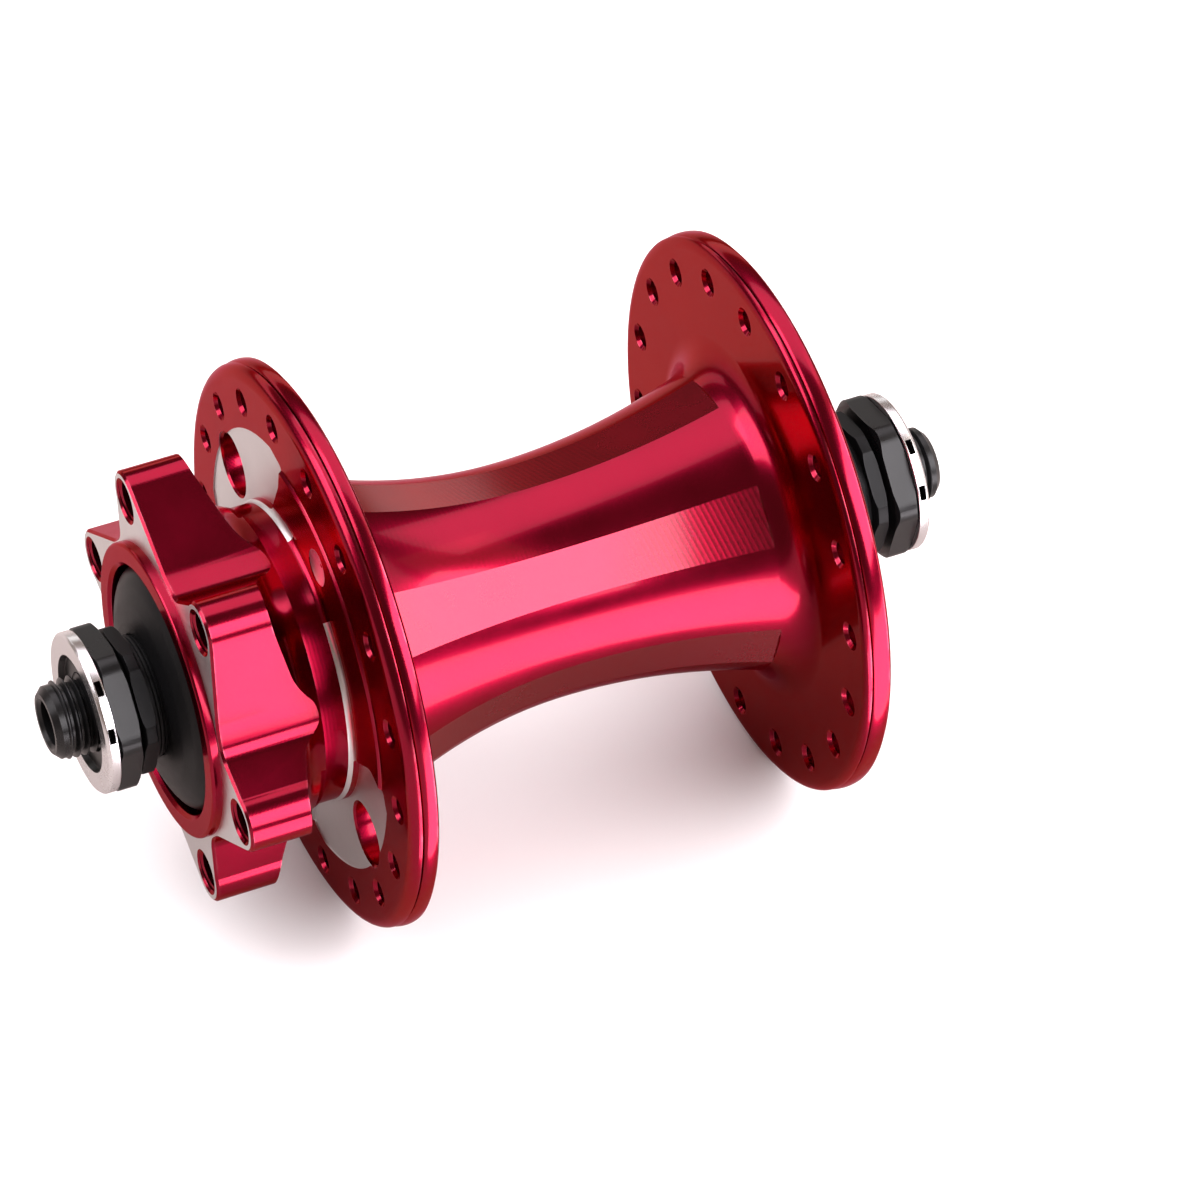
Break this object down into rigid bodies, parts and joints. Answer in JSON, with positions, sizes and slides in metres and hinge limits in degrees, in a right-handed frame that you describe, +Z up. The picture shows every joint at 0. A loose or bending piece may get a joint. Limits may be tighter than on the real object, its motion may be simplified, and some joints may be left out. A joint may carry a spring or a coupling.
{
  "type": "front disc brake hub",
  "caption": "Flanged bicycle front hub with a brake rotor mount, turning on sealed ball bearings round a hollow threaded axle.",
  "frame": {"origin": "centre of the hub on the axle line, midway between the two locknut faces", "axes": "+Y along the axle away from the brake rotor side, +Z up, +X level across"},
  "size_m": [0.066, 0.108, 0.066],
  "materials": {
    "red_anodised": "glossy red anodised, with bare machined faces on the rotor lugs and the flange windows",
    "black_anodised": "satin black anodised",
    "black_oxide": "black oxide, machined",
    "bright_steel": "nickel-plated, serrated",
    "bearing_steel": "ground and polished",
    "seal_rubber": "moulded matt rubber",
    "cage_nylon": "moulded nylon",
    "plain_aluminium": "as turned"
  },
  "bodies": {
    "axle_assembly": {"axle": "black_oxide", "center_spacer": "plain_aluminium", "disc_washer": "bright_steel", "disc_locknut": "black_oxide", "disc_axle_spacer": "black_anodised", "disc_dust_cap": "black_anodised", "disc_bearing_inner_ring": "bearing_steel", "plain_washer": "bright_steel", "plain_locknut": "black_oxide", "plain_axle_spacer": "black_anodised", "plain_dust_cap": "black_anodised", "plain_bearing_inner_ring": "bearing_steel"},
    "shell": {"hub_shell": "red_anodised", "disc_bearing_outer_ring": "bearing_steel", "disc_bearing_outboard_seal": "seal_rubber", "disc_bearing_inboard_seal": "seal_rubber", "plain_bearing_outer_ring": "bearing_steel", "plain_bearing_outboard_seal": "seal_rubber", "plain_bearing_inboard_seal": "seal_rubber"},
    "disc_cage": {"disc_bearing_cage": "cage_nylon"},
    "disc_ball_1": {"disc_bearing_ball_1": "bearing_steel"},
    "disc_ball_2": {"disc_bearing_ball_2": "bearing_steel"},
    "disc_ball_3": {"disc_bearing_ball_3": "bearing_steel"},
    "disc_ball_4": {"disc_bearing_ball_4": "bearing_steel"},
    "disc_ball_5": {"disc_bearing_ball_5": "bearing_steel"},
    "disc_ball_6": {"disc_bearing_ball_6": "bearing_steel"},
    "disc_ball_7": {"disc_bearing_ball_7": "bearing_steel"},
    "plain_cage": {"plain_bearing_cage": "cage_nylon"},
    "plain_ball_1": {"plain_bearing_ball_1": "bearing_steel"},
    "plain_ball_2": {"plain_bearing_ball_2": "bearing_steel"},
    "plain_ball_3": {"plain_bearing_ball_3": "bearing_steel"},
    "plain_ball_4": {"plain_bearing_ball_4": "bearing_steel"},
    "plain_ball_5": {"plain_bearing_ball_5": "bearing_steel"},
    "plain_ball_6": {"plain_bearing_ball_6": "bearing_steel"},
    "plain_ball_7": {"plain_bearing_ball_7": "bearing_steel"}
  },
  "joints": [
    {"name": "shell_spin", "type": "hinge", "parent": "axle_assembly", "child": "shell", "pos_m": [0, 0, 0], "axis": [0, 1, 0], "continuous": true},
    {"name": "disc_cage_orbit", "type": "hinge", "parent": "axle_assembly", "child": "disc_cage", "pos_m": [0, -0.033, 0], "axis": [0, 1, 0], "continuous": true},
    {"name": "disc_ball_1_roll", "type": "hinge", "parent": "disc_cage", "child": "disc_ball_1", "pos_m": [0, -0.033, 0.009], "axis": [0, 1, 0], "continuous": true},
    {"name": "disc_ball_2_roll", "type": "hinge", "parent": "disc_cage", "child": "disc_ball_2", "pos_m": [-0.00704, -0.033, 0.00561], "axis": [0, 1, 0], "continuous": true},
    {"name": "disc_ball_3_roll", "type": "hinge", "parent": "disc_cage", "child": "disc_ball_3", "pos_m": [-0.00877, -0.033, -0.002], "axis": [0, 1, 0], "continuous": true},
    {"name": "disc_ball_4_roll", "type": "hinge", "parent": "disc_cage", "child": "disc_ball_4", "pos_m": [-0.00391, -0.033, -0.00811], "axis": [0, 1, 0], "continuous": true},
    {"name": "disc_ball_5_roll", "type": "hinge", "parent": "disc_cage", "child": "disc_ball_5", "pos_m": [0.00391, -0.033, -0.00811], "axis": [0, 1, 0], "continuous": true},
    {"name": "disc_ball_6_roll", "type": "hinge", "parent": "disc_cage", "child": "disc_ball_6", "pos_m": [0.00877, -0.033, -0.002], "axis": [0, 1, 0], "continuous": true},
    {"name": "disc_ball_7_roll", "type": "hinge", "parent": "disc_cage", "child": "disc_ball_7", "pos_m": [0.00704, -0.033, 0.00561], "axis": [0, 1, 0], "continuous": true},
    {"name": "plain_cage_orbit", "type": "hinge", "parent": "axle_assembly", "child": "plain_cage", "pos_m": [0, 0.033, 0], "axis": [0, 1, 0], "continuous": true},
    {"name": "plain_ball_1_roll", "type": "hinge", "parent": "plain_cage", "child": "plain_ball_1", "pos_m": [0, 0.033, 0.009], "axis": [0, 1, 0], "continuous": true},
    {"name": "plain_ball_2_roll", "type": "hinge", "parent": "plain_cage", "child": "plain_ball_2", "pos_m": [-0.00704, 0.033, 0.00561], "axis": [0, 1, 0], "continuous": true},
    {"name": "plain_ball_3_roll", "type": "hinge", "parent": "plain_cage", "child": "plain_ball_3", "pos_m": [-0.00877, 0.033, -0.002], "axis": [0, 1, 0], "continuous": true},
    {"name": "plain_ball_4_roll", "type": "hinge", "parent": "plain_cage", "child": "plain_ball_4", "pos_m": [-0.00391, 0.033, -0.00811], "axis": [0, 1, 0], "continuous": true},
    {"name": "plain_ball_5_roll", "type": "hinge", "parent": "plain_cage", "child": "plain_ball_5", "pos_m": [0.00391, 0.033, -0.00811], "axis": [0, 1, 0], "continuous": true},
    {"name": "plain_ball_6_roll", "type": "hinge", "parent": "plain_cage", "child": "plain_ball_6", "pos_m": [0.00877, 0.033, -0.002], "axis": [0, 1, 0], "continuous": true},
    {"name": "plain_ball_7_roll", "type": "hinge", "parent": "plain_cage", "child": "plain_ball_7", "pos_m": [0.00704, 0.033, 0.00561], "axis": [0, 1, 0], "continuous": true}
  ],
  "couplings": [
    {"joint": "disc_cage_orbit", "follows": "shell_spin", "ratio": 0.63228},
    {"joint": "disc_ball_1_roll", "follows": "shell_spin", "ratio": 1.7577},
    {"joint": "disc_ball_2_roll", "follows": "shell_spin", "ratio": 1.7577},
    {"joint": "disc_ball_3_roll", "follows": "shell_spin", "ratio": 1.7577},
    {"joint": "disc_ball_4_roll", "follows": "shell_spin", "ratio": 1.7577},
    {"joint": "disc_ball_5_roll", "follows": "shell_spin", "ratio": 1.7577},
    {"joint": "disc_ball_6_roll", "follows": "shell_spin", "ratio": 1.7577},
    {"joint": "disc_ball_7_roll", "follows": "shell_spin", "ratio": 1.7577},
    {"joint": "plain_cage_orbit", "follows": "shell_spin", "ratio": 0.63228},
    {"joint": "plain_ball_1_roll", "follows": "shell_spin", "ratio": 1.7577},
    {"joint": "plain_ball_2_roll", "follows": "shell_spin", "ratio": 1.7577},
    {"joint": "plain_ball_3_roll", "follows": "shell_spin", "ratio": 1.7577},
    {"joint": "plain_ball_4_roll", "follows": "shell_spin", "ratio": 1.7577},
    {"joint": "plain_ball_5_roll", "follows": "shell_spin", "ratio": 1.7577},
    {"joint": "plain_ball_6_roll", "follows": "shell_spin", "ratio": 1.7577},
    {"joint": "plain_ball_7_roll", "follows": "shell_spin", "ratio": 1.7577}
  ]
}
